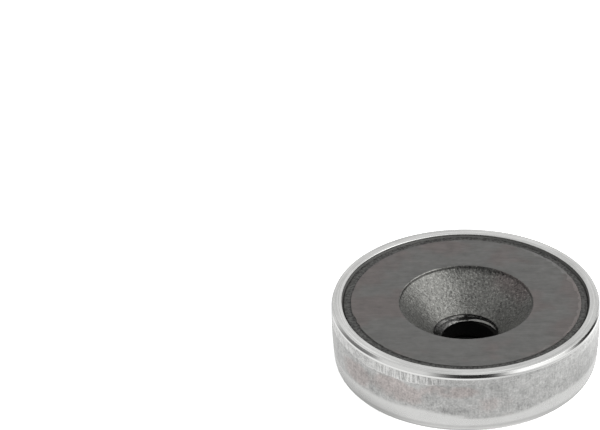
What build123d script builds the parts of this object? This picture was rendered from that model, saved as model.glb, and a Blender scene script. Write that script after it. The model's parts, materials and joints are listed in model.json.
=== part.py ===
from build123d import *

import math
import os

# Countersunk pot magnet: a ring of hard ferrite bonded with resin into a deep-drawn
# steel pot. The pot lies on its closed back, with the holding face up.
# Origin: centre of the back. +Z runs along the screw hole towards the holding face.
# Every section below is drawn in radius and height, and turned about +Z.

# ---------------------------------------------------------------- driving dimensions (mm)
# Steel pot, drawn from sheet. Drawing thins the wall at its foot and thickens it at the
# mouth, so that the inside is straight and the outside is a shallow barrel.
pot_diameter = 25.0            # across the belly, where the wall is widest
pot_height = 7.0
sheet_thickness = 1.0          # the back
belly_thickness = 1.08         # the wall at the belly
belly_height = 5.9             # height of the widest place, just under the mouth
barrel_radius = 50.0           # curve of the wall's outside, up its height
back_corner_radius = 1.65      # outside, from the back into the wall
lip_bevel_width = 0.11         # burnished bevel round the outside of the mouth
lip_bevel_height = 0.33
mouth_edge_break = 0.15        # small bevel round the inside of the mouth

# Screw hole, punched from the inside of the pot outwards
screw_hole_diameter = 5.5      # clearance for an M5 countersunk screw
break_out_height = 0.45        # torn part of the hole's wall, next to the back
break_out_flare = 0.06         # how far the torn part opens out

# Ferrite ring magnet, pressed with its countersink and ground on its face
face_recess = 0.2              # the rim of the pot stands this far above the magnet
countersink_diameter = 12.4    # at the face
land_height = 0.28             # steep land between the face and the cone
land_draft = 0.07              # how far the land closes in over its height
countersink_angle = 90.0       # degrees, included angle of the cone
throat_diameter = 6.1          # where the cone ends
throat_bevel_height = 0.4      # steeper bevel from the cone into the bore

# Resin between magnet and pot
bed_thickness = 0.2            # resin under the magnet
side_clearance = 0.72          # resin between the magnet and the wall
bed_setback = 0.9              # the bed stops this far short of the screw hole
resin_sink = 0.06              # the resin has shrunk this far below the magnet's face

# ---------------------------------------------------------------- derived sizes
pot_radius = pot_diameter / 2
cup_radius = pot_radius - belly_thickness          # inside of the wall
screw_hole_radius = screw_hole_diameter / 2
countersink_radius = countersink_diameter / 2
throat_radius = throat_diameter / 2
inner_corner_radius = max(back_corner_radius - sheet_thickness, sheet_thickness / 10)

lip_foot_height = pot_height - lip_bevel_height
face_height = pot_height - face_recess
resin_height = face_height - resin_sink
bed_top = sheet_thickness + bed_thickness
bed_inner_radius = screw_hole_radius + bed_setback
magnet_radius = cup_radius - side_clearance
magnet_foot_chamfer = inner_corner_radius / 2      # clears the cup's inner corner

cone_slope = math.tan(math.radians(countersink_angle / 2))
cone_top = face_height - land_height
cone_radius = countersink_radius - land_draft
throat_top = cone_top - (cone_radius - throat_radius) / cone_slope
throat_foot = throat_top - throat_bevel_height


def barrel_angle(height):
    """Angle, in degrees from level, at which the wall's outside is at this height."""
    return math.degrees(math.asin((height - belly_height) / barrel_radius))


def wall_radius(height):
    """Radius of the wall's outside at this height."""
    rise = height - belly_height
    return pot_radius - barrel_radius + math.sqrt(barrel_radius**2 - rise**2)


# ---------------------------------------------------------------- steel pot
with BuildPart() as steel_pot:
    with BuildSketch(Plane.XZ) as pot_section:
        with BuildLine():
            back = Line((screw_hole_radius + break_out_flare, 0), (wall_radius(0), 0))
            CenterArc(
                (pot_radius - barrel_radius, belly_height),
                barrel_radius,
                barrel_angle(0),
                barrel_angle(lip_foot_height) - barrel_angle(0),
            )
            Polyline(
                (wall_radius(lip_foot_height), lip_foot_height),
                (wall_radius(lip_foot_height) - lip_bevel_width, pot_height),
                (cup_radius + mouth_edge_break, pot_height),
                (cup_radius, pot_height - mouth_edge_break),
                (cup_radius, sheet_thickness),
                (screw_hole_radius, sheet_thickness),
                (screw_hole_radius, break_out_height),
                back @ 0,
            )
        make_face()
        fillet(pot_section.vertices().sort_by_distance(back @ 1)[0], back_corner_radius)
        cup_corner = pot_section.vertices().sort_by_distance((cup_radius, sheet_thickness))[0]
        fillet(cup_corner, inner_corner_radius)
    revolve(axis=Axis.Z)

# ---------------------------------------------------------------- ferrite magnet
with BuildPart() as ferrite_magnet:
    with BuildSketch(Plane.XZ):
        with BuildLine():
            Polyline(
                (screw_hole_radius, bed_top),
                (magnet_radius - magnet_foot_chamfer, bed_top),
                (magnet_radius, bed_top + magnet_foot_chamfer),
                (magnet_radius, face_height),
                (countersink_radius, face_height),
                (cone_radius, cone_top),
                (throat_radius, throat_top),
                (screw_hole_radius, throat_foot),
                close=True,
            )
        make_face()
    revolve(axis=Axis.Z)

# ---------------------------------------------------------------- potting resin
# It bridges the cup's inner corner with a bevel, and the magnet stands in it.
with BuildPart() as potting_resin:
    with BuildSketch(Plane.XZ):
        with BuildLine():
            Polyline(
                (bed_inner_radius, sheet_thickness),
                (cup_radius - inner_corner_radius, sheet_thickness),
                (cup_radius, sheet_thickness + inner_corner_radius),
                (cup_radius, resin_height),
                (magnet_radius, resin_height),
                (magnet_radius, bed_top + magnet_foot_chamfer),
                (magnet_radius - magnet_foot_chamfer, bed_top),
                (bed_inner_radius, bed_top),
                close=True,
            )
        make_face()
    revolve(axis=Axis.Z)

# ---------------------------------------------------------------- output
os.makedirs("parts", exist_ok=True)
for name, piece in (
    ("steel_pot", steel_pot),
    ("ferrite_magnet", ferrite_magnet),
    ("potting_resin", potting_resin),
):
    piece.part.label = name
    export_step(piece.part, f"parts/{name}.step")
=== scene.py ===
"""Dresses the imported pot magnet: a drawn steel pot, a ferrite ring and the resin between them."""

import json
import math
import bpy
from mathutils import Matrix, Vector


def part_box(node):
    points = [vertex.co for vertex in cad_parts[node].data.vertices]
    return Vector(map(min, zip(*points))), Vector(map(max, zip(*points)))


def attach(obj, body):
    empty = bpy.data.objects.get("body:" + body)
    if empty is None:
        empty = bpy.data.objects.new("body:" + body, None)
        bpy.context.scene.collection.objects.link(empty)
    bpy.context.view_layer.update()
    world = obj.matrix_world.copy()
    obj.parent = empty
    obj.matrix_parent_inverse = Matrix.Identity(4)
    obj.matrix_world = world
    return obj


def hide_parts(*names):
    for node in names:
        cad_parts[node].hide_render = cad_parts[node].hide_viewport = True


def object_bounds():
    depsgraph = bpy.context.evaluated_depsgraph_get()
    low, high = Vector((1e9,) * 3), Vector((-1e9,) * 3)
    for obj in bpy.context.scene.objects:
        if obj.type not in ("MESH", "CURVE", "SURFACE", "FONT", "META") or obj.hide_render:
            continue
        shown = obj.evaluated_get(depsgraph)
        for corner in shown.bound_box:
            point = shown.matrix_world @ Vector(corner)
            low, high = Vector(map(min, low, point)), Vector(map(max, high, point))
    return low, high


bl_info = {
    "name": "Pot Magnet",
    "version": (1, 0, 0),
    "blender": (4, 5, 0),
    "location": "3D View > Sidebar > Pot Magnet",
    "description": "Builds a countersunk pot magnet from a steel pot, a ferrite ring and resin",
    "category": "Object",
}

import bpy
from bpy.props import FloatProperty, FloatVectorProperty, IntProperty, PointerProperty
from mathutils import Quaternion, Vector

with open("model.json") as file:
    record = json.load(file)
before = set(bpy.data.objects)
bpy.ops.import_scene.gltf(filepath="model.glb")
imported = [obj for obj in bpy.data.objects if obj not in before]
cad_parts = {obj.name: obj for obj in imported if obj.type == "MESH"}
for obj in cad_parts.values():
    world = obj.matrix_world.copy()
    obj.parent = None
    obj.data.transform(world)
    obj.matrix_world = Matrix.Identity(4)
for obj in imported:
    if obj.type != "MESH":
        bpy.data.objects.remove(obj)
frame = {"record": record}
cad_low, cad_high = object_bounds()

MM = 0.001
BODY = "root"
IMAGE_WIDTH = 600             # pixels
IMAGE_HEIGHT = 430
ARC_STEP = math.radians(10)   # one step of a rounded edge turns by at most this
ROUNDED_SHARE = 0.45          # of a side that the rounding at each of its ends may take
PATH_RADIUS = 1.0             # of the circle that a section is turned round
WHITE = (1.0, 1.0, 1.0, 1.0)
OVERPALE = (3.2, 3.2, 3.2, 1.0)   # the floor as the camera sees it, brighter than white

# Places of the Mix node's sockets for colours, because its other sockets have the same names
FACTOR_SOCKET = 0
FIRST_COLOUR_SOCKET = 6
SECOND_COLOUR_SOCKET = 7
MIXED_COLOUR_SOCKET = 2


def towards(azimuth, elevation):
    """A unit vector. Azimuth is in degrees from +X towards +Y."""
    a, e = math.radians(azimuth), math.radians(elevation)
    return Vector((math.cos(a) * math.cos(e), math.sin(a) * math.cos(e), math.sin(e)))


# ---------------------------------------- nodes as expressions
def operator(operation, reflected=False):
    """A method that adds one Math node. A reflected one swaps the two operands."""

    def method(self, other):
        operands = (other, self) if reflected else (self, other)
        return self.net.math(operation, *operands)

    return method


class Value:
    """A node's output socket that takes part in Python arithmetic."""

    def __init__(self, net, socket):
        self.net = net
        self.socket = socket

    __add__ = operator("ADD")
    __radd__ = operator("ADD", reflected=True)
    __sub__ = operator("SUBTRACT")
    __rsub__ = operator("SUBTRACT", reflected=True)
    __mul__ = operator("MULTIPLY")
    __rmul__ = operator("MULTIPLY", reflected=True)
    __truediv__ = operator("DIVIDE")
    __pow__ = operator("POWER")

    def __neg__(self):
        return self.net.math("MULTIPLY", self, -1.0)


class Net:
    """Adds nodes to one tree, in a shader, a world or Geometry Nodes."""

    def __init__(self, tree):
        self.tree = tree

    def node(self, kind, settings=None, inputs=None, output=0):
        """Adds a node of any type: its settings, then its inputs, each a number or a Value."""
        node = self.tree.nodes.new(kind)
        for name, setting in (settings or {}).items():
            setattr(node, name, setting)
        for name, value in (inputs or {}).items():
            if isinstance(value, Value):
                self.tree.links.new(value.socket, node.inputs[name])
            else:
                node.inputs[name].default_value = value
        return Value(self, node.outputs[output]) if node.outputs else node

    def outputs(self, kind, inputs=None):
        """Adds a node and returns all its outputs by name."""
        sockets = self.node(kind, None, inputs).socket.node.outputs
        return {socket.name: Value(self, socket) for socket in sockets}

    def light_path(self):
        """Which rays these are, each 0 or 1: from the camera, reflected, or sent through."""
        outputs = self.outputs("ShaderNodeLightPath")
        return [outputs[f"Is {kind} Ray"] for kind in ("Camera", "Glossy", "Transmission")]

    def math(self, operation, *values):
        """One Math node on these values."""
        return self.node("ShaderNodeMath", {"operation": operation}, dict(enumerate(values)))

    def scaled(self, vector, factor):
        """The vector times a number."""
        settings = {"operation": "SCALE"}
        return self.node("ShaderNodeVectorMath", settings, {"Vector": vector, "Scale": factor})

    def combined(self, x, y, z):
        """A vector of three numbers."""
        return self.node("ShaderNodeCombineXYZ", None, {"X": x, "Y": y, "Z": z})

    def parts(self, vector):
        """The three numbers of a vector."""
        outputs = self.outputs("ShaderNodeSeparateXYZ", {"Vector": vector})
        return [outputs[axis] for axis in "XYZ"]

    def noise(self, vector, scale, detail, roughness):
        """Noise from 0 to 1. The scale is in waves for each unit of the vector."""
        inputs = {"Vector": vector, "Scale": scale, "Detail": detail, "Roughness": roughness}
        return self.node("ShaderNodeTexNoise", {"noise_dimensions": "3D"}, inputs)

    def step(self, value, start, end):
        """Goes smoothly from 0 to 1 as the value goes from start to end."""
        inputs = {"Value": value, "From Min": start, "From Max": end}
        return self.node("ShaderNodeMapRange", {"interpolation_type": "SMOOTHSTEP"}, inputs)

    def fall(self, value, start, end):
        """Goes smoothly from 1 to 0 as the value goes from start to end."""
        return 1 - self.step(value, start, end)

    def band(self, value, start, end, soft):
        """One between start and end, and zero outside, over a soft edge."""
        rise = self.step(value, start - soft, start + soft)
        return rise * self.fall(value, end - soft, end + soft)

    def mix(self, factor, first, second, blend="MIX"):
        """Mixes two colours."""
        settings = {"data_type": "RGBA", "blend_type": blend}
        inputs = {FACTOR_SOCKET: factor, FIRST_COLOUR_SOCKET: first, SECOND_COLOUR_SOCKET: second}
        return self.node("ShaderNodeMix", settings, inputs, output=MIXED_COLOUR_SOCKET)

    def mix_shaders(self, factor, first, second):
        """Mixes two shaders, whose sockets have one name and are given by their places."""
        return self.node("ShaderNodeMixShader", None, dict(enumerate((factor, first, second))))

    def bump(self, height, distance, strength):
        """Raises the surface by the height, from 0 to 1, times the distance in metres."""
        inputs = {"Height": height, "Distance": distance, "Strength": strength}
        return self.node("ShaderNodeBump", None, inputs)


class Place:
    """A point on the magnet, in millimetres, and soft masks that depend on where it is."""

    def __init__(self, net, metres):
        self.net = net
        self.point = net.scaled(metres, 1 / MM)
        self.x, self.y, self.z = net.parts(self.point)
        self.radius = (self.x * self.x + self.y * self.y) ** 0.5

    def around(self, seed, across):
        """A vector that runs round a circle of radius across, so that noise on it has no seam."""
        round_x = self.x / self.radius * across + seed
        return self.net.combined(round_x, self.y / self.radius * across, 0.0)

    def near(self, azimuth, half_width):
        """One at this azimuth, and zero from half_width degrees on either side of it."""
        side = towards(azimuth, 0.0)
        facing = (self.x * side.x + self.y * side.y) / self.radius
        return self.net.step(facing, math.cos(math.radians(half_width)), 1.0)

    def spot(self, azimuth, height, half_width, half_height):
        """A soft oval on the wall, one in its middle. Its sizes are in millimetres."""
        side = towards(azimuth, 0.0)
        along = (self.y * side.x - self.x * side.y) / half_width
        above = (self.z - height) / half_height
        this_side = self.net.step(self.x * side.x + self.y * side.y, 2.0, 6.0)
        return self.net.step(1 - (along * along + above * above), 0.0, 1.0) * this_side


# ---------------------------------------- sizes and colours
steel_low, steel_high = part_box("steel_pot")
ferrite_low, ferrite_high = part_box("ferrite_magnet")
resin_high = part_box("potting_resin")[1]
mount_sizes = {mount["name"]: mount["dims"] for mount in frame["record"]["mounts"]}

# Heights on the magnet, in millimetres, that the masks are measured from
RIM = steel_high.z / MM         # flat rim of the pot
FACE = ferrite_high.z / MM      # ground face of the ferrite
RESIN_TOP = resin_high.z / MM   # resin between ferrite and pot
BAND_FOOT = RIM - 0.5           # the burnished band starts here, under the lip
CONE_FOOT = 3.4                 # the countersink's cone ends in the throat
BORE_TOP = 2.9                  # the throat ends in the bore

# Radii of the circles, in millimetres, that noise runs round
WALL_ROUND = 12.5               # outside of the pot
FERRITE_ROUND = 10.7            # outside of the ferrite


def number(name, default, description, **kind):
    """A property that holds a number. The keywords say of which kind."""
    return FloatProperty(name=name, description=description, default=default, **kind)


def length(name, default, description):
    """A property that holds a length."""
    return number(name, default, description, subtype="DISTANCE", unit="LENGTH", precision=5)


def angle(name, degrees, description):
    """A property that holds an angle."""
    radians = math.radians(degrees)
    return number(name, radians, description, subtype="ANGLE", unit="ROTATION")


def power(name, watts, description):
    """A property that holds a lamp's power."""
    return number(name, watts, description, subtype="POWER", unit="POWER")


def steps_round(default):
    """A property that holds in how many steps a section is turned."""
    return IntProperty(name="Steps", description="Steps round the axis", default=default, min=64)


def colour(name, default, description):
    """A property that holds a linear colour."""
    opaque = (*default, 1.0)
    kind = {"subtype": "COLOR", "size": 4, "min": 0.0, "max": 1.0}
    return FloatVectorProperty(name=name, description=description, default=opaque, **kind)


class PotSizes(bpy.types.PropertyGroup):
    radius: length(
        "Radius",
        min(steel_high.x, steel_high.y, -steel_low.x, -steel_low.y),
        "Across the belly, the widest place",
    )
    height: length("Height", steel_high.z, "From the back to the rim")
    sheet: length("Sheet", 1.0 * MM, "Thickness of the back")
    cup_radius: length("Cup Radius", resin_high.x, "Inside of the wall")
    mouth_radius: length("Mouth Radius", 11.53 * MM, "Inner edge of the flat rim")
    belly_height: length("Belly Height", 5.9 * MM, "Height of the widest place")
    barrel_radius: length("Barrel Radius", 50.0 * MM, "Curve of the wall up its height")
    back_corner: length("Back Corner", 1.65 * MM, "Radius from the back into the wall")
    lip_width: length("Lip Width", 0.12 * MM, "Width of the burnished lip, seen from above")
    lip_height: length("Lip Height", 0.31 * MM, "Height of the burnished lip")
    band_height: length("Band Height", 0.18 * MM, "Height of the burnished band under the lip")
    hole_radius: length(
        "Hole Radius", mount_sizes["screw_hole"]["r_mm"] * MM, "Radius of the punched hole"
    )
    torn_height: length("Torn Height", 0.45 * MM, "Torn part of the hole's wall, next to the back")
    torn_flare: length("Torn Flare", 0.06 * MM, "How far the torn part opens out")
    mark_depth: length("Mark Depth", 0.012 * MM, "Depth of the draw marks under the rim")
    rim_widening: length("Rim Widening", 0.16 * MM, "How much wider the flat rim is on one side")
    shift_x: length("Shift X", -0.015 * MM, "How far the cup was drawn off centre")
    shift_y: length("Shift Y", 0.12 * MM, "How far the cup was drawn off centre")
    steps: steps_round(750)


class MagnetSizes(bpy.types.PropertyGroup):
    radius: length("Radius", ferrite_high.x, "Outside of the ring")
    face_height: length("Face Height", ferrite_high.z, "Height of the ground face")
    foot_height: length("Foot Height", ferrite_low.z, "Height of the magnet's underside")
    countersink_radius: length("Countersink Radius", 6.2 * MM, "At the face")
    land_height: length("Land Height", 0.28 * MM, "Steep land above the cone")
    cone_radius: length("Cone Radius", 6.13 * MM, "Where the land meets the cone")
    cone_end_radius: length("Cone End Radius", 3.05 * MM, "Where the cone ends")
    cone_end_height: length("Cone End Height", 3.45 * MM, "Height of the cone's end")
    ledge_radius: length("Ledge Radius", 2.85 * MM, "Inner edge of the ledge under the cone")
    ledge_drop: length("Ledge Drop", 0.12 * MM, "How far the ledge lies under the cone")
    bore_edge_radius: length("Bore Edge Radius", 2.62 * MM, "Irregular edge at the top of the bore")
    bore_edge_height: length("Bore Edge Height", 2.97 * MM, "Height of the edge of the bore")
    bore_shift: length("Bore Shift", 0.4 * MM, "How far the throat was pressed off centre")
    chip_depth: length("Chip Depth", 0.12 * MM, "How deep the edge of the face has chipped")
    grain_depth: length("Grain Depth", 0.05 * MM, "Height of the grain of the fired skin")
    nick_depth: length("Nick Depth", 0.14 * MM, "Depth of the nicks in the throat")
    shift_x: length("Shift X", 0.03 * MM, "How far the magnet sits off centre")
    shift_y: length("Shift Y", 0.06 * MM, "How far the magnet sits off centre")
    steps: steps_round(480)


class ResinSizes(bpy.types.PropertyGroup):
    top: length("Top", resin_high.z, "Height of the resin between magnet and wall")
    gap_width: length("Gap Width", 0.12 * MM, "Width of the groove beside the wall")
    gap_depth: length("Gap Depth", 0.2 * MM, "Depth of the groove beside the wall")
    waviness: length("Waviness", 0.05 * MM, "Unevenness of the resin's top")
    bed_setback: length("Bed Setback", 0.9 * MM, "How far the bed stops short of the screw hole")
    steps: steps_round(720)


class Finishes(bpy.types.PropertyGroup):
    steel: colour("Steel", (0.62, 0.62, 0.61), "Bare drawn steel")
    stain: colour("Stain", (0.59, 0.545, 0.53), "Brownish stain left by the drawing")
    ferrite: colour("Ferrite", (0.157, 0.156, 0.150), "Ground ferrite")
    warm_ferrite: colour("Warm Ferrite", (0.161, 0.143, 0.137), "Warmer patches of the ferrite")
    fired_skin: colour("Fired Skin", (0.138, 0.138, 0.130), "Fired skin of the countersink")
    resin: colour("Resin", (0.105, 0.105, 0.101), "Cured potting resin")
    film: colour("Film", (0.100, 0.100, 0.096), "Film of resin on the inside of the wall")


class StageSettings(bpy.types.PropertyGroup):
    camera_distance: length("Camera Distance", 0.394, "From the centre of the holding face")
    camera_elevation: angle("Camera Elevation", 33.17, "Above the horizon")
    camera_roll: angle("Camera Roll", -0.27, "Turn of the camera about its own line of sight")
    focal_pixels: number("Focal Length", 4238.0, "In pixels of the image")
    centre_x: number("Centre X", 465.66, "Where the centre of the face is, in pixels")
    centre_y: number("Centre Y", 300.12, "Where the centre of the face is, in pixels")
    floor: colour("Floor", (0.90, 0.90, 0.90), "Pale floor")
    key_power: power("Key Power", 0.5, "Softbox on the right")
    high_power: power("High Power", 0.3, "Higher softbox, further back")
    fill_power: power("Fill Power", 0.1, "Softbox on the left")
    ambient: number("Ambient", 0.4, "Light from all round")


# ---------------------------------------- sections
def run(start, end, step):
    """Points from start up to, but not including, end."""
    count = max(1, math.ceil((end - start).length / step))
    return [start.lerp(end, index / count) for index in range(count)]


def arc(centre, radius, start, end, step):
    """Places (radius, height) on an arc, with both its ends. Angles are in radians from level."""
    count = max(1, math.ceil(abs(end - start) * radius / step))
    places = []
    for index in range(count + 1):
        turn = start + (end - start) * index / count
        places.append((centre[0] + radius * math.cos(turn), centre[1] + radius * math.sin(turn)))
    return places


def section(corners):
    """A closed section. Each corner is (radius, height, rounding, step of the run after it)."""
    places = [Vector((radius, height)) for radius, height, *_ in corners]
    ends = []
    for index, place in enumerate(places):
        rounding = corners[index][2]
        before = places[index - 1] - place
        after = places[(index + 1) % len(places)] - place
        half_turn = (math.pi - before.angle(after)) / 2
        room = ROUNDED_SHARE * min(before.length, after.length)
        reach = min(rounding * math.tan(half_turn), room)
        into = place + before.normalized() * reach
        out = place + after.normalized() * reach
        inwards = (before.normalized() + after.normalized()) * reach
        centre = place + inwards / (2 * math.sin(half_turn) ** 2) if reach else place
        ends.append((into, out, centre, half_turn))
    points = []
    for index, (into, out, centre, half_turn) in enumerate(ends):
        if into != out:
            arc_steps = max(2, math.ceil(2 * half_turn / ARC_STEP))
            for step in range(arc_steps):
                turned = (into - centre).slerp(out - centre, step / arc_steps)
                points.append(centre + turned * (into - centre).length)
        next_into = ends[(index + 1) % len(ends)][0]
        points += run(out, next_into, corners[index][3])
    return points


def pot_section(pot):
    """The drawn pot: punched hole, flat back, barrelled wall, burnished lip and flat rim."""
    coarse, medium, fine, finest = 1.6 * MM, 0.6 * MM, 0.12 * MM, 0.035 * MM
    barrel_centre = (pot.radius - pot.barrel_radius, pot.belly_height)

    def barrel_angle(height):
        return math.asin((height - pot.belly_height) / pot.barrel_radius)

    def wall(height):
        return barrel_centre[0] + pot.barrel_radius * math.cos(barrel_angle(height))

    # The back corner touches the back and the barrel, and this is where it meets the barrel.
    corner_drop = pot.back_corner - pot.belly_height
    corner_reach = pot.barrel_radius - pot.back_corner
    meeting = math.asin(corner_drop / corner_reach)
    corner_centre = (barrel_centre[0] + corner_reach * math.cos(meeting), pot.back_corner)

    lip_foot = pot.height - pot.lip_height
    band_foot = lip_foot - pot.band_height
    marks_start = 5.2 * MM
    lip_top = wall(lip_foot) - pot.lip_width
    marks_angle = barrel_angle(marks_start)
    band_angle = barrel_angle(band_foot)
    corner = arc(corner_centre, pot.back_corner, -math.pi / 2, meeting, 0.2 * MM)
    low_wall = arc(barrel_centre, pot.barrel_radius, meeting, marks_angle, medium)[1:]
    high_wall = arc(barrel_centre, pot.barrel_radius, marks_angle, band_angle, fine)[1:]

    corners = [(pot.hole_radius + pot.torn_flare, 0.0, 0.03 * MM, coarse)]
    corners += [(*place, 0.0, medium) for place in corner + low_wall + high_wall]
    corners += [
        # Burnished lip
        (wall(lip_foot), lip_foot - 0.02 * MM, 0.04 * MM, finest),
        (wall(lip_foot) - 0.012 * MM, lip_foot + 0.03 * MM, 0.05 * MM, finest),
        (lip_top + 0.022 * MM, pot.height - 0.06 * MM, 0.08 * MM, finest),
        # Flat rim
        (lip_top, pot.height, 0.025 * MM, 0.2 * MM),
        (pot.mouth_radius + 0.05 * MM, pot.height, 0.03 * MM, 0.04 * MM),
        # Edge break and inside of the cup
        (pot.mouth_radius, pot.height - 0.03 * MM, 0.02 * MM, 0.06 * MM),
        (pot.mouth_radius - 0.03 * MM, pot.height - 0.14 * MM, 0.03 * MM, 0.1 * MM),
        (pot.cup_radius, pot.height - 0.4 * MM, 0.1 * MM, coarse),
        (pot.cup_radius, pot.sheet, pot.back_corner - pot.sheet, coarse),
        # Punched hole
        (pot.hole_radius, pot.sheet, 0.02 * MM, 0.2 * MM),
        (pot.hole_radius, pot.torn_height, 0.02 * MM, 0.12 * MM),
    ]
    return section(corners)


def magnet_section(magnet, pot):
    """The ferrite ring: chipped edge, ground face, land, cone, ledge and bore."""
    outside = magnet.radius
    foot = magnet.foot_height
    foot_chamfer = 0.4 * MM
    face = magnet.face_height
    edge_zone = 0.5 * MM
    cone_top = face - magnet.land_height
    ledge = magnet.cone_end_height - magnet.ledge_drop
    corners = [
        # Underside and outside
        (pot.hole_radius, foot, 0.05 * MM, 0.8 * MM),
        (outside - foot_chamfer, foot, 0.05 * MM, 0.3 * MM),
        (outside, foot + foot_chamfer, 0.05 * MM, 1.2 * MM),
        (outside, face - edge_zone, 0.0, 0.07 * MM),
        (outside, face, 0.03 * MM, 0.06 * MM),
        (outside - edge_zone, face, 0.0, 0.5 * MM),
        # Land and cone
        (magnet.countersink_radius + 0.09 * MM, face, 0.015 * MM, 0.03 * MM),
        (magnet.countersink_radius, face - 0.05 * MM, 0.015 * MM, 0.05 * MM),
        (magnet.cone_radius, cone_top, 0.03 * MM, 0.08 * MM),
        (magnet.cone_end_radius, magnet.cone_end_height, 0.03 * MM, 0.03 * MM),
        # Ledge and bore
        (magnet.cone_end_radius - 0.02 * MM, ledge, 0.02 * MM, 0.05 * MM),
        (magnet.ledge_radius, ledge - 0.05 * MM, 0.02 * MM, 0.03 * MM),
        (magnet.ledge_radius - 0.03 * MM, ledge - 0.13 * MM, 0.02 * MM, 0.04 * MM),
        (magnet.bore_edge_radius, magnet.bore_edge_height, 0.02 * MM, 0.04 * MM),
        (pot.hole_radius, magnet.bore_edge_height - 0.3 * MM, 0.1 * MM, 0.3 * MM),
    ]
    return section(corners)


def resin_section(resin, magnet, pot):
    """The bed under the magnet and the ring round it, with a groove beside the wall."""
    bed_inner = pot.hole_radius + resin.bed_setback
    overlap = 0.1 * MM
    under_magnet = magnet.radius - magnet.chip_depth - overlap
    corner_bevel = 0.8 * MM
    corners = [
        # Bed and the cup's corner
        (bed_inner, pot.sheet, 0.0, 1.0 * MM),
        (pot.cup_radius - corner_bevel, pot.sheet, 0.0, 0.5 * MM),
        (pot.cup_radius, pot.sheet + corner_bevel, 0.0, 1.0 * MM),
        # Groove and top of the ring
        (pot.cup_radius, resin.top - resin.gap_depth, 0.0, 0.03 * MM),
        (pot.cup_radius - resin.gap_width, resin.top - 0.03 * MM, 0.06 * MM, 0.04 * MM),
        (under_magnet, resin.top, 0.0, 0.5 * MM),
        # Under the magnet
        (under_magnet, magnet.foot_height + 0.5 * MM, 0.0, 0.5 * MM),
        (under_magnet, magnet.foot_height, 0.0, 1.0 * MM),
        (bed_inner, magnet.foot_height, 0.0, 0.5 * MM),
    ]
    return section(corners)


# ---------------------------------------- turning a section
def turned_tree(name, sizes, relief):
    """Geometry Nodes that turn the object's own section about Z, then add the relief.

    sizes holds the names of further inputs, which are in millimetres. relief(net, at, inputs)
    returns how far each point moves outwards, and along X, Y and Z, in millimetres too.
    The tree comes back with the identifiers of its inputs.
    """
    tree = bpy.data.node_groups.new(name, "GeometryNodeTree")
    kinds = {"Section": "Geometry", "Steps": "Int", "Seed": "Float", "Finish": "Material"}
    kinds.update(dict.fromkeys(sizes, "Float"))
    new_socket = tree.interface.new_socket
    identifiers = {}
    for label, kind in kinds.items():
        socket = new_socket(name=label, in_out="INPUT", socket_type="NodeSocket" + kind)
        identifiers[label] = socket.identifier
    new_socket(name="Piece", in_out="OUTPUT", socket_type="NodeSocketGeometry")

    net = Net(tree)
    inputs = net.outputs("NodeGroupInput")
    circle = {"Resolution": inputs["Steps"], "Radius": PATH_RADIUS}
    path = net.node("GeometryNodeCurvePrimitiveCircle", {"mode": "RADIUS"}, circle)
    upright = net.node("GeometryNodeSetCurveNormal", {"mode": "Z_UP"}, {"Curve": path})
    profile = net.node("GeometryNodeMeshToCurve", None, {"Mesh": inputs["Section"]})
    turned = net.node(
        "GeometryNodeCurveToMesh", None, {"Curve": upright, "Profile Curve": profile}
    )
    outward = net.node("GeometryNodeFlipFaces", None, {"Mesh": turned})

    at = Place(net, net.node("GeometryNodeInputPosition"))
    outwards, along_x, along_y, upwards = relief(net, at, inputs)
    moved_x = at.x / at.radius * outwards + along_x
    moved_y = at.y / at.radius * outwards + along_y
    offset = net.combined(moved_x, moved_y, upwards)
    moved = net.node(
        "GeometryNodeSetPosition", None, {"Geometry": outward, "Offset": net.scaled(offset, MM)}
    )
    smooth = net.node("GeometryNodeSetShadeSmooth", None, {"Geometry": moved})
    real = net.node("GeometryNodeRealizeInstances", None, {"Geometry": smooth})
    finished = net.node(
        "GeometryNodeSetMaterial", None, {"Geometry": real, "Material": inputs["Finish"]}
    )
    net.node("NodeGroupOutput", None, {"Piece": finished})
    return tree, identifiers


def turned_piece(name, points, steps, finish, sizes, relief, seed):
    """Turns the section into a closed mesh object at the origin."""
    section_mesh = bpy.data.meshes.new(name + "_section")
    vertices = [(point.x - PATH_RADIUS, -point.y, 0.0) for point in points]
    edges = [(index, (index + 1) % len(points)) for index in range(len(points))]
    section_mesh.from_pydata(vertices, edges, [])
    holder = bpy.data.objects.new(name + "_section", section_mesh)
    bpy.context.scene.collection.objects.link(holder)

    tree, identifiers = turned_tree(name + "_turning", sizes, relief)
    modifier = holder.modifiers.new("Turning", "NODES")
    modifier.node_group = tree
    modifier[identifiers["Steps"]] = steps
    modifier[identifiers["Seed"]] = float(seed)
    modifier[identifiers["Finish"]] = finish
    for size, value in sizes.items():
        modifier[identifiers[size]] = value / MM

    depsgraph = bpy.context.evaluated_depsgraph_get()
    mesh = bpy.data.meshes.new_from_object(holder.evaluated_get(depsgraph), depsgraph=depsgraph)
    mesh.name = name
    holder.modifiers.remove(modifier)
    bpy.data.objects.remove(holder)
    piece = bpy.data.objects.new(name, mesh)
    bpy.context.scene.collection.objects.link(piece)
    return piece


def hand_over(piece, node):
    """The piece stands for its CAD node and rides on the magnet's one body."""
    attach(piece, BODY)
    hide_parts(node)


# ---------------------------------------- places on the magnet
def marks_end(net, at):
    """Height, in millimetres, down to which the draw marks run from the rim."""
    wander = net.noise(at.around(5.0, WALL_ROUND), 0.35, 2.0, 0.5)
    ragged = net.noise(at.around(9.0, WALL_ROUND), 4.0, 2.0, 0.7)
    longest = at.near(-120, 28)
    left = at.near(-165, 40)
    return 6.05 - longest * 0.55 - left * 0.5 + (wander - 0.5) * 0.5 + (ragged - 0.5) * 0.35


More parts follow.
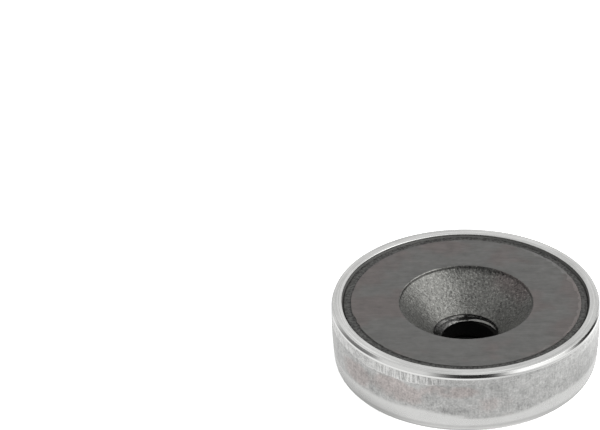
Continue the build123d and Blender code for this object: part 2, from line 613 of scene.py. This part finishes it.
def satin_foot(net, at):
    """Height, in millimetres, of the wavy lower edge of the satin wall."""
    wander = net.noise(at.around(2.0, WALL_ROUND), 0.16, 3.0, 0.6)
    high = at.near(-104, 20)
    low = at.near(-79, 28)
    return 2.62 + (wander - 0.5) * 0.3 + high * 0.15 - low * 0.42


def wide_side(at):
    """The side of the mouth where the flat rim is wider, and the inside is clean to the edge."""
    return at.near(82, 72)


# ---------------------------------------- relief of each piece
def pot_relief(net, at, inputs):
    """Upright draw marks under the rim, a rim that is wider on one side, and a cup off centre."""
    z, radius = at.z, at.radius

    # Draw marks, deepest at the front left
    end = marks_end(net, at)
    under_rim = net.step(z, end, end + 0.1) * net.fall(z, BAND_FOOT - 0.1, BAND_FOOT)
    under_rim = under_rim * net.step(radius, 12.0, 12.2)
    marks = net.noise(at.around(inputs["Seed"], WALL_ROUND), 5.0, 2.0, 0.6)
    strength = 0.35 + at.near(-118, 24) * 0.65
    outwards = (marks - 0.75) * under_rim * strength * inputs["Mark Depth"]

    # The edge of the mouth moves in on the wide side
    mouth = net.step(z, RIM - 0.2, RIM - 0.1) * net.fall(radius, 11.56, 11.75)
    outwards = outwards - mouth * wide_side(at) * inputs["Rim Widening"]

    # The inside of the cup shifts, and the back and the outside stay
    cup_end = 11.7 + net.step(z, RIM - 0.5, RIM - 0.1) * 0.4
    in_cup = net.fall(radius, 11.66, cup_end)
    shifted = in_cup * net.step(z, 0.9, 0.99) * net.step(radius, 4.0, 9.0)
    return outwards, shifted * inputs["Shift X"], shifted * inputs["Shift Y"], 0.0


def magnet_relief(net, at, inputs):
    """A chipped edge round the face, a grainy cone, and a throat that sits off centre."""
    z, radius = at.z, at.radius

    # Chips along the edge of the face, fewer at the front
    near_edge = net.step(z, FACE - 0.45, FACE - 0.05) * net.step(radius, 10.2, 10.6)
    chips = net.noise(at.around(inputs["Seed"], FERRITE_ROUND), 0.8, 5.0, 0.6)
    crisp = at.near(-90, 70) * 0.8
    chipped = net.step(chips, 0.42, 0.75) * 0.5 + net.step(chips, 0.56, 0.62) * 0.5
    chipped = chipped * near_edge * (1 - crisp)

    # Grain of the fired skin
    in_cone = net.band(z, CONE_FOOT + 0.1, FACE - 0.4, 0.1) * net.fall(radius, 6.1, 6.3)
    grain = (net.noise(at.point, 3.4, 3.0, 0.6) - 0.5) * in_cone * inputs["Grain Depth"]

    # Nicks in the throat, and the edge of the bore off centre
    in_throat = net.band(z, BORE_TOP - 0.05, CONE_FOOT, 0.1) * net.fall(radius, 3.05, 3.3)
    nicks = (net.noise(at.point, 2.5, 2.0, 0.6) - 0.5) * in_throat * inputs["Nick Depth"]
    off_centre = net.band(z, 2.78, 3.2, 0.12) * net.fall(radius, 3.05, 3.3)

    outwards = nicks - chipped * inputs["Chip Depth"] - grain
    along_x = inputs["Shift X"] + off_centre * inputs["Bore Shift"]
    along_y = inputs["Shift Y"] * net.step(radius, 2.9, 3.6)
    return outwards, along_x, along_y, grain


def resin_relief(net, at, inputs):
    """A top that is slightly uneven, as it has set, between a magnet and a cup off centre."""
    top = net.step(at.z, RESIN_TOP - 0.14, RESIN_TOP - 0.06)
    uneven = net.noise(at.point, 1.1, 4.0, 0.65)
    upwards = (uneven - 0.7) * inputs["Waviness"] * top
    shifted = net.step(at.radius, 4.0, 9.0)
    by_cup = net.step(at.radius, 10.8, 11.35)
    along_x = shifted * inputs["Shift X"] + by_cup * inputs["Cup Shift X"]
    along_y = shifted * inputs["Shift Y"] + by_cup * inputs["Cup Shift Y"]
    return 0.0, along_x, along_y, upwards


# ---------------------------------------- finishes
def finish_of(name):
    """A new empty material, the net that fills it and the place that it is read at."""
    material = bpy.data.materials.new(name)
    material.use_nodes = True
    material.node_tree.nodes.clear()
    net = Net(material.node_tree)
    return material, net, Place(net, net.node("ShaderNodeTexCoord", output="Object"))


def surfaced(net, base, roughness, normal, **others):
    """Ends a material with a Principled surface."""
    inputs = {"Base Color": base, "Roughness": roughness, "Normal": normal, **others}
    shader = net.node("ShaderNodeBsdfPrincipled", None, inputs)
    net.node("ShaderNodeOutputMaterial", None, {"Surface": shader})


def shaded(net, base, shade):
    """The colour times a number."""
    return net.mix(1.0, base, net.combined(shade, shade, shade), "MULTIPLY")


def stains(net, at, mottle, cloud):
    """Where the drawing left stains, at the front left."""
    left = at.spot(-144, 3.8, 3.2, 1.7)
    middle = at.spot(-120, 4.2, 4.0, 1.6)
    right = at.spot(-96, 5.1, 3.2, 1.0)
    reach = left + middle + right
    return net.step(reach * 0.3 + mottle * 0.5 + cloud * 0.5, 0.56, 0.76)


def resin_film(net, at, speckle):
    """Where resin films the inside of the wall, and its tone: painted lighter to make up for the
    shade on the upright wall, with a painted shadow line along its top. It ends lower on the wide
    side.
    """
    clean = wide_side(at)
    inner_wall = net.fall(at.radius, 11.85, 11.95) * net.step(at.radius, 10.0, 10.2)
    top = RIM - 0.07 - clean * 0.13
    end = net.step(at.z, top, top + 0.04 + clean * 0.06)
    film = inner_wall * net.step(at.z, 1.02, 1.1) * (1 - end)
    # Painted shadow line along the film's top, fainter on the wide side
    edge = net.step(at.z, top - 0.06, top - 0.02) * (0.9 - clean * 0.9)
    return film, 1.35 + clean * 1.3 - edge * 1.4 + (speckle - 0.5) * 1.2


def steel_finish(finishes):
    """Drawn steel: satin wall with stains, burnished corner and lip, turned rim, matt back."""
    material, net, at = finish_of("drawn_steel")
    x, y, z, radius = at.x, at.y, at.z, at.radius

    # Zones, from the rim down to the back
    outside = net.step(radius, 11.9, 12.0)
    rim = net.step(z, RIM - 0.04, RIM - 0.015)
    lip = net.band(z, BAND_FOOT, RIM - 0.045, 0.015) * outside
    lip_top = net.band(z, RIM - 0.16, RIM - 0.05, 0.02) * lip
    lip_middle = net.band(z, RIM - 0.26, RIM - 0.10, 0.03) * lip
    burnished = net.band(z, BAND_FOOT, BAND_FOOT + 0.15, 0.015) * outside
    end = marks_end(net, at)
    above_end = net.step(z, end - 0.04, end + 0.12)
    marked = above_end * net.fall(z, BAND_FOOT - 0.08, BAND_FOOT - 0.02) * outside
    marks_foot = net.band(z, end - 0.02, end + 0.07, 0.03) * outside
    # Painted highlight on the belly, used only at the right
    belly_highlight = net.band(z, 5.55, 5.95, 0.15) * outside
    foot = satin_foot(net, at)
    satin = net.step(z, foot - 0.25, foot + 0.25) * (1 - above_end) * outside
    dashes = net.band(z, 2.15, 2.35, 0.06) * at.near(-82, 14)
    # Dull band low on the wall: rougher, and darker as a painted reflection of the shade on the
    # floor by the foot
    dull = net.band(z, 0.75, 1.35, 0.16) * net.step(radius, 11.0, 11.2)
    foot_shadow = net.band(z, 0.60, 0.84, 0.06) * at.near(-106, 42)
    back = net.fall(z, 0.02, 0.1) * net.step(radius, 3.0, 3.2)
    # Painted shade: the punched hole, and the sheet round it under the bore, are darkened
    hole = net.fall(radius, 2.9, 3.0)
    well = net.fall(radius, 3.9, 4.0) * net.step(z, 0.5, 0.9)

    # Textures
    mottle = net.noise(at.point, 0.6, 4.0, 0.6)
    cloud = net.noise(at.point, 0.22, 2.0, 0.5)
    speckle = net.noise(at.point, 5.5, 2.0, 0.7)
    blotch = net.noise(at.point, 1.8, 2.0, 0.6)
    upright = net.noise(net.combined(x, y, z * 0.1), 5.0, 3.0, 0.7)
    turned = net.noise(net.combined(radius, x * 0.02, y * 0.02), 4.5, 3.0, 0.7)

    # Bare metal: stained wall, and marks that are deepest at the front left
    stained = stains(net, at, mottle, cloud) * satin
    base = net.mix(stained, tuple(finishes.steel), tuple(finishes.stain))
    deepest = at.near(-115, 21)
    scored = net.step(upright, 0.45, 0.55) * marked * (0.2 + deepest * 0.8)
    zone_shade = (
        1.04
        - satin * 0.30
        # Beside the marks' own tone, a painted reflection: the marked band is darker at the front
        # and at the right
        - marked * (0.08 + at.near(-84, 50) * 0.14 + at.near(-32, 48) * 0.16)
        - marked * (at.near(-100, 14) * 0.08 - deepest * 0.3)
        + marks_foot * (0.08 + deepest * 0.14 + at.near(-160, 40) * 0.1)
        + belly_highlight * at.near(-30, 28) * 0.13
        - dashes * net.step(speckle, 0.45, 0.6) * 0.25
        - dull * 0.24
        - foot_shadow * 0.42
        - back * 0.12
        - hole * 0.3
        - well * 0.7
        - rim * 0.14
        - lip * 0.03
        # The burnished band is brighter, and a painted shade dims its reflection at the right
        + burnished * (0.28 - at.near(-42, 50) * 0.48)
        # Painted reflections on the lip: dark in its middle at the right, lighter at its top on the
        # left
        - lip_middle * at.near(-22, 18) * 0.35
        + lip_top * at.near(-147, 16) * 0.3
    )
    spot_shade = (
        at.spot(-113, 5.0, 2.6, 1.2) * 0.06
        - at.spot(-141, 4.2, 3.0, 1.3) * 0.09
        - at.spot(-29, 2.9, 2.6, 1.0) * 0.09
        - at.spot(-95, 3.0, 2.4, 0.5) * 0.11
    )
    grain_shade = (
        (mottle - 0.5) * (0.2 + 0.2 * satin) * (1 - lip)
        + (speckle - 0.5) * (0.74 * satin + 0.4 * marked + 0.12)
        + (blotch - 0.5) * (0.5 * satin + (0.4 + at.near(-158, 34) * 0.7) * marked)
        + (upright - 0.5) * (0.7 * marked + 0.42 * satin)
        - scored * 0.56
        + (turned - 0.5) * 1.1 * rim
        + (cloud - 0.5) * 0.3 * rim
    )
    bare = shaded(net, base, zone_shade + spot_shade + grain_shade)
    film, film_speckle_and_light = resin_film(net, at, speckle)
    filmed = shaded(net, tuple(finishes.film), film_speckle_and_light)

    roughness = (
        0.28
        + satin * 0.09
        + dull * 0.07
        + back * 0.1
        + (mottle - 0.5) * 0.1
        + (speckle - 0.5) * 0.1
        - lip * 0.15
        - rim * 0.04
        + film * 0.3
    )
    height = (
        turned * rim * 0.25
        + upright * marked * 0.8
        + upright * satin * 0.2
        + speckle * (satin * 0.35 + back * 0.4)
    )
    normal = net.bump(height, 0.012 * MM, 0.6)
    surfaced(net, net.mix(film, bare, filmed), roughness, normal, Metallic=1 - film)
    return material


def ferrite_finish(finishes):
    """Hard ferrite: fine grinding streaks on the face and a grainy fired skin in the cone."""
    material, net, at = finish_of("sintered_ferrite")
    x, y, z, radius = at.x, at.y, at.z, at.radius

    # Zones, from the face down the countersink
    inside = net.fall(radius, 6.4, 6.6)
    face = net.step(z, FACE - 0.03, FACE - 0.01)
    # Painted highlight on the countersink's top edge, brightest at the back on the left and darker
    # at the front on the right
    edge_highlight = net.step(z, FACE - 0.06, FACE - 0.05) * inside
    edge_highlight = edge_highlight * net.fall(z, FACE - 0.01, FACE - 0.002)
    land = net.band(z, FACE - 0.25, FACE - 0.07, 0.02) * inside
    cone = (1 - face) * net.step(z, CONE_FOOT, CONE_FOOT + 0.04) * inside
    skin = cone * (1 - land)
    throat_foot = net.step(z, BORE_TOP - 0.06, BORE_TOP)
    throat = throat_foot * net.fall(z, CONE_FOOT - 0.02, CONE_FOOT + 0.02)
    ledge = net.band(z, 3.25, 3.345, 0.012) * net.fall(radius, 3.2, 3.3)
    ledge = ledge * at.near(116, 46)
    raised = at.near(48, 38) * 0.08 + at.near(128, 25) * 0.08
    bore_edge = net.band(z, 2.92, 3.05 + raised, 0.02) * net.fall(radius, 3.1, 3.2)
    bore_edge = bore_edge * at.near(60, 110)
    bore = net.fall(z, BORE_TOP - 0.06, BORE_TOP + 0.02)

    # Textures
    streaks = net.noise(net.combined(x * 0.3, y * 1.4, 0.0), 1.0, 3.0, 0.6)
    scratches = net.noise(net.combined(x * 0.9 + y * 0.1, y * 5.0, 0.0), 1.0, 3.0, 0.7)
    patch = net.noise(at.point, 0.17, 3.0, 0.55)
    mottle = net.noise(at.point, 0.9, 4.0, 0.65)
    grain = net.noise(at.point, 4.2, 2.0, 0.6)
    fleck = net.step(net.noise(at.point, 5.5, 1.0, 0.5), 0.58, 0.68)
    pit = net.step(net.noise(at.point, 4.6, 1.0, 0.5), 0.60, 0.68)
    flaked = net.noise(at.around(3.0, FERRITE_ROUND), 1.1, 2.0, 0.5)

    # Warmer patches on the face and high in the cone
    base = net.mix(cone, tuple(finishes.ferrite), tuple(finishes.fired_skin))
    warmer = at.near(0, 50) * 0.18 + at.near(172, 45) * 0.15
    warm = net.step(patch + warmer, 0.54, 0.66) * face
    warm = warm + at.near(38, 32) * net.step(z, 5.0, 6.2) * cone
    base = net.mix(warm, base, tuple(finishes.warm_ferrite))

    # The throat is crumbled where it was pressed. Its ledge and edge get a painted highlight, and
    # the rest of the throat and the bore are painted dark as shade, with dark metal that reflects
    # little
    pressed = at.near(135, 44)
    crumbled = net.step(grain, 0.47, 0.55) * pressed
    lit = net.math("MAXIMUM", bore_edge, ledge) * net.step(mottle, 0.34, 0.62)
    lit = lit * (1 - crumbled * 0.75)
    dark_throat = throat * (1 - lit) * (1 - fleck * 0.5) * (1 - pressed * 0.5)
    black = net.math("MAXIMUM", bore, dark_throat)
    # A lighter, ragged ring just inside the face's edge, on the right
    lighter_edge = net.step(radius + (flaked - 0.5) * 1.1, 10.46, 10.5) * face * at.near(6, 75)

    face_shade = (
        (streaks - 0.5) * 0.55
        + (scratches - 0.5) * 0.55
        + (mottle - 0.5) * 0.75
    )
    cone_shade = (grain - 0.5) * 1.4 + fleck * 0.7 - pit * 0.42
    # Painted light on the fired skin: highlight at the back on the left and right, shade at the
    # front on the left and high on the right, and a shadow under the land at the back. The warm
    # patches and two small patches at the back are darker.
    skin_patches_and_light = (
        at.near(121, 42) * 0.45
        + at.near(66, 28) * 0.2
        - at.near(-158, 42) * 0.32
        - warm * 0.25
        - at.near(-12, 27) * net.step(z, 5.0, 6.3) * 0.22
        - at.near(101, 13) * net.step(z, 5.6, 6.2) * 0.35
        - at.near(70, 12) * net.step(z, 5.4, 5.9) * 0.25
        - at.near(78, 36) * net.step(z, 6.15, 6.5) * 0.5
    )
    edge_highlight_shade = at.near(130, 36) * net.step(mottle, 0.36, 0.54) * 1.7 - at.near(-35, 55) * 0.25
    # Painted shadow on the steep land under the countersink's edge, lighter at the back and on the
    # right
    land_painted_shadow = at.near(127, 32) * 0.75 + at.near(24, 55) * 0.5 + at.near(82, 32) * 0.2 - 0.80
    lit_shade = (
        1.8
        + bore_edge * (1.5 + at.near(22, 52) * 2.2 + at.near(124, 28) * 5.0)
        + ledge * at.near(114, 28) * 1.4
    )
    # Painted shade in the throat, lifted by its flecks and crumbling
    throat_shade = fleck * 0.5 + pressed * (mottle - 0.3) * 0.7 + crumbled * 0.35 - 0.9
    shade = (
        1.0
        + face_shade * face
        + lighter_edge * 0.42
        + edge_highlight_shade * edge_highlight
        + land_painted_shadow * land
        + cone_shade * cone
        + skin_patches_and_light * skin
        + lit_shade * lit
        + throat_shade * throat
        # Painted shade deep in the bore
        - bore * 0.86
    )
    roughness = 0.46 + black * 0.3 + (scratches - 0.5) * 0.2 * face - (grain - 0.5) * 0.4 * cone
    metallic = net.math("MAXIMUM", black, skin * 0.6)
    normal = net.bump(scratches * face * 0.15 + grain * cone, 0.12 * MM, 0.9)
    base = shaded(net, base, shade)
    surfaced(net, base, roughness, normal, Metallic=metallic, IOR=1.4)
    return material


def resin_finish(finishes):
    """Dark cured resin with a dull skin and fine pits."""
    material, net, at = finish_of("cured_resin")
    blotch = net.noise(at.point, 1.4, 3.0, 0.6)
    pits = net.step(net.noise(at.point, 4.0, 2.0, 0.6), 0.40, 0.60)
    by_magnet = net.fall(at.radius, 10.72, 10.84)
    # Painted shadow on the resin along the magnet's edge, deepest at the back on the right
    joint_shadow = by_magnet * (0.2 + at.near(45, 60) * 0.4)
    shade = 1.0 + (blotch - 0.5) * 1.0 + (pits - 0.5) * 0.8 - joint_shadow
    base = shaded(net, tuple(finishes.resin), shade)
    normal = net.bump(blotch * 0.4 + pits * 0.6, 0.03 * MM, 0.7)
    surfaced(net, base, 0.5 + (pits - 0.5) * 0.2, normal, IOR=1.25)
    return material


# ---------------------------------------- stage
def softbox(name, direction, distance, size, watts):
    """A rectangular lamp, width by height, that faces the magnet from this direction."""
    lamp = bpy.data.lights.new(name, "AREA")
    lamp.shape = "RECTANGLE"
    lamp.size, lamp.size_y = size
    lamp.energy = watts
    holder = bpy.data.objects.new(name, lamp)
    outwards = towards(*direction)
    holder.location = outwards * distance
    holder.rotation_euler = outwards.to_track_quat("Z", "Y").to_euler()
    holder.visible_camera = False
    holder.visible_glossy = False
    bpy.context.scene.collection.objects.link(holder)


def studio_world(ambient):
    """White behind everything. Reflections see it darker low down in front and at the sides."""
    world = bpy.data.worlds.new("studio")
    bpy.context.scene.world = world
    world.use_nodes = True
    world.node_tree.nodes.clear()
    net = Net(world.node_tree)
    x, y, z = net.parts(net.node("ShaderNodeTexCoord", output="Generated"))
    tiny = 1e-6
    flat = (x * x + y * y) ** 0.5 + tiny

    def facing(azimuth, start):
        """One at this azimuth, and zero where the cosine of the angle to it is below start."""
        side = towards(azimuth, 0.0)
        return net.step((x * side.x + y * side.y) / flat, start, 1.0)

    def unlit(azimuth, half_width, top, depth):
        """Darker by this depth near the azimuth, from a little under the horizon to the top."""
        low = net.band(z, -0.3, top, 0.05)
        return 1 - facing(azimuth, math.cos(math.radians(half_width))) * low * depth

    high_front = 1 - net.step(-y, 0.2, 0.6) * net.step(z, 0.4, 0.6) * 0.3
    window = towards(-12, 42)
    glow = net.step(x * window.x + y * window.y + z * window.z, 0.80, 1.0) * 2.6
    side_glow = facing(-30, 0.76) * net.band(z, 0.0, 0.6, 0.15) * 0.8
    dark_front = unlit(-84, 40, 0.40, 0.96)
    dark_right = unlit(27, 31, 0.12, 0.97)
    dark_left = unlit(176, 26, 0.12, 0.76)
    reflected = dark_front * dark_right * dark_left * high_front + glow + side_glow
    camera, glossy, transmitted = net.light_path()
    shown = net.math("MAXIMUM", camera, transmitted)
    strength = shown + (1 - shown) * (glossy * reflected + (1 - glossy) * ambient)
    background = net.node("ShaderNodeBackground", None, {"Color": WHITE, "Strength": strength})
    net.node("ShaderNodeOutputWorld", None, {"Surface": background})
    world.cycles.sampling_method = "NONE"


def floor_finish(floor_colour):
    """Pale floor that shows white and keeps the shadow. Reflections see its light and shade."""
    material, net, at = finish_of("pale_floor")
    radius = at.radius
    camera, glossy, transmitted = net.light_path()

    # Shade and glow close to the magnet, then the dark of the studio further out
    shade_side = at.near(-157, 44) * net.fall(radius, 13.4, 14.4) * 0.34
    shade_back = at.near(142, 16) * net.step(radius, 14.4, 15.2) * 0.28
    edge_glow = at.near(-88, 36) * net.fall(radius, 12.2, 12.8) * 0.3
    glow_right = at.near(19, 30) * net.step(radius, 14.8, 16.6) * 0.46
    glow_front = at.near(-8, 45) * net.step(radius, 18.2, 19.6) * 0.3
    near_floor = 1 - shade_side - shade_back + edge_glow + glow_right + glow_front
    dark_sides = at.near(-84, 40) * 0.96 + at.near(180, 26) * 0.76 + at.near(18, 29) * 0.97
    far = net.step(radius, 24.0, 34.0)
    bright = net.step(radius, 2.6, 3.6) * near_floor * (1 - far * dark_sides)
    white = net.node("ShaderNodeEmission", None, {"Color": WHITE, "Strength": bright})

    # The camera sees the floor so pale that only its shadow is darker than white
    seen_colour = net.mix(camera, floor_colour, OVERPALE)
    matt = net.node("ShaderNodeBsdfDiffuse", None, {"Color": seen_colour})
    top = net.mix_shaders(net.math("MAXIMUM", glossy, transmitted), matt, white)
    underside = net.node("ShaderNodeNewGeometry", output="Backfacing")
    clear = net.node("ShaderNodeBsdfTransparent")
    surface = net.mix_shaders(underside, top, clear)
    net.node("ShaderNodeOutputMaterial", None, {"Surface": surface})
    return material


def pale_floor(floor_colour):
    """A wide square floor that lies a hair below the magnet's back."""
    reach = 3.0
    level = -0.01 * MM
    signs = ((-1, -1), (1, -1), (1, 1), (-1, 1))
    corners = [(x * reach, y * reach, level) for x, y in signs]
    mesh = bpy.data.meshes.new("floor")
    mesh.from_pydata(corners, [], [(0, 1, 2, 3)])
    mesh.materials.append(floor_finish(floor_colour))
    floor = bpy.data.objects.new("floor", mesh)
    bpy.context.scene.collection.objects.link(floor)
    return floor


def aimed_camera(settings):
    """A long lens from the front, a third of the way up, with the magnet low on the right."""
    data = bpy.data.cameras.new("camera")
    data.sensor_width = 36.0
    data.lens = settings.focal_pixels * data.sensor_width / IMAGE_WIDTH
    data.clip_start = 0.01
    data.clip_end = 100.0
    camera = bpy.data.objects.new("camera", data)
    face_centre = Vector((0.0, 0.0, cad_high.z))
    backwards = towards(-90, math.degrees(settings.camera_elevation))
    camera.location = face_centre + backwards * settings.camera_distance

    # The camera is turned until the centre of the face falls on its pixel
    straight = backwards.to_track_quat("Z", "Y")
    pixel = Vector(
        (
            (settings.centre_x - IMAGE_WIDTH / 2) / settings.focal_pixels,
            -(settings.centre_y - IMAGE_HEIGHT / 2) / settings.focal_pixels,
            -1.0,
        )
    )
    ahead = Vector((0.0, 0.0, -1.0))
    roll = Quaternion(ahead, settings.camera_roll)
    turn = pixel.normalized().rotation_difference(ahead)
    camera.rotation_mode = "QUATERNION"
    camera.rotation_quaternion = straight @ roll @ turn
    bpy.context.scene.collection.objects.link(camera)
    bpy.context.scene.camera = camera


# ---------------------------------------- operators
class POTMAGNET_OT_stage(bpy.types.Operator):
    """Makes the camera, the softboxes, the studio and the floor"""

    bl_idname = "potmagnet.stage"
    bl_label = "Stage"

    def execute(self, context):
        settings = context.scene.potmagnet_stage
        context.scene.view_settings.view_transform = "Standard"
        aimed_camera(settings)
        studio_world(settings.ambient)
        softbox("key_softbox", (-25, 25), 0.40, (0.40, 0.34), settings.key_power)
        softbox("high_softbox", (12, 40), 0.45, (0.30, 0.24), settings.high_power)
        softbox("fill_softbox", (-140, 25), 0.45, (0.30, 0.30), settings.fill_power)
        floor = pale_floor(tuple(settings.floor))
        return {"FINISHED"}


class POTMAGNET_OT_steel_pot(bpy.types.Operator):
    """Turns the drawn steel pot"""

    bl_idname = "potmagnet.steel_pot"
    bl_label = "Steel Pot"

    def execute(self, context):
        scene = context.scene
        pot = scene.potmagnet_pot
        finish = steel_finish(scene.potmagnet_finishes)
        points = pot_section(pot)
        sizes = {
            "Mark Depth": pot.mark_depth,
            "Rim Widening": pot.rim_widening,
            "Shift X": pot.shift_x,
            "Shift Y": pot.shift_y,
        }
        piece = turned_piece(
            "steel_pot_drawn", points, pot.steps, finish, sizes, pot_relief, seed=3
        )
        hand_over(piece, "steel_pot")
        return {"FINISHED"}


class POTMAGNET_OT_ferrite_magnet(bpy.types.Operator):
    """Turns the ferrite ring magnet"""

    bl_idname = "potmagnet.ferrite_magnet"
    bl_label = "Ferrite Magnet"

    def execute(self, context):
        scene = context.scene
        magnet = scene.potmagnet_magnet
        finish = ferrite_finish(scene.potmagnet_finishes)
        points = magnet_section(magnet, scene.potmagnet_pot)
        sizes = {
            "Chip Depth": magnet.chip_depth,
            "Grain Depth": magnet.grain_depth,
            "Nick Depth": magnet.nick_depth,
            "Bore Shift": magnet.bore_shift,
            "Shift X": magnet.shift_x,
            "Shift Y": magnet.shift_y,
        }
        piece = turned_piece(
            "ferrite_ring", points, magnet.steps, finish, sizes, magnet_relief, seed=7
        )
        hand_over(piece, "ferrite_magnet")
        return {"FINISHED"}


class POTMAGNET_OT_potting_resin(bpy.types.Operator):
    """Turns the ring of potting resin"""

    bl_idname = "potmagnet.potting_resin"
    bl_label = "Potting Resin"

    def execute(self, context):
        scene = context.scene
        resin = scene.potmagnet_resin
        magnet = scene.potmagnet_magnet
        pot = scene.potmagnet_pot
        finish = resin_finish(scene.potmagnet_finishes)
        points = resin_section(resin, magnet, pot)
        sizes = {
            "Waviness": resin.waviness,
            "Shift X": magnet.shift_x,
            "Shift Y": magnet.shift_y,
            "Cup Shift X": pot.shift_x - magnet.shift_x,
            "Cup Shift Y": pot.shift_y - magnet.shift_y,
        }
        piece = turned_piece(
            "resin_fill", points, resin.steps, finish, sizes, resin_relief, seed=11
        )
        hand_over(piece, "potting_resin")
        return {"FINISHED"}


class POTMAGNET_PT_panel(bpy.types.Panel):
    """Lists the magnet's pieces and the stage"""

    bl_label = "Pot Magnet"
    bl_idname = "POTMAGNET_PT_panel"
    bl_space_type = "VIEW_3D"
    bl_region_type = "UI"
    bl_category = "Pot Magnet"

    def draw(self, context):
        for button in OPERATORS:
            self.layout.operator(button.bl_idname)


GROUPS = {
    "potmagnet_pot": PotSizes,
    "potmagnet_magnet": MagnetSizes,
    "potmagnet_resin": ResinSizes,
    "potmagnet_finishes": Finishes,
    "potmagnet_stage": StageSettings,
}
OPERATORS = (
    POTMAGNET_OT_stage,
    POTMAGNET_OT_steel_pot,
    POTMAGNET_OT_ferrite_magnet,
    POTMAGNET_OT_potting_resin,
)


CLASSES = (*GROUPS.values(), *OPERATORS, POTMAGNET_PT_panel)


def register():
    for kind in CLASSES:
        bpy.utils.register_class(kind)
    for name, group in GROUPS.items():
        setattr(bpy.types.Scene, name, PointerProperty(type=group))


def unregister():
    for name in GROUPS:
        delattr(bpy.types.Scene, name)
    for kind in reversed(CLASSES):
        bpy.utils.unregister_class(kind)


def main():
    """Builds the stage and every piece."""
    register()
    bpy.ops.potmagnet.stage()
    bpy.ops.potmagnet.steel_pot()
    bpy.ops.potmagnet.ferrite_magnet()
    bpy.ops.potmagnet.potting_resin()


if __name__ == "__main__":
    main()
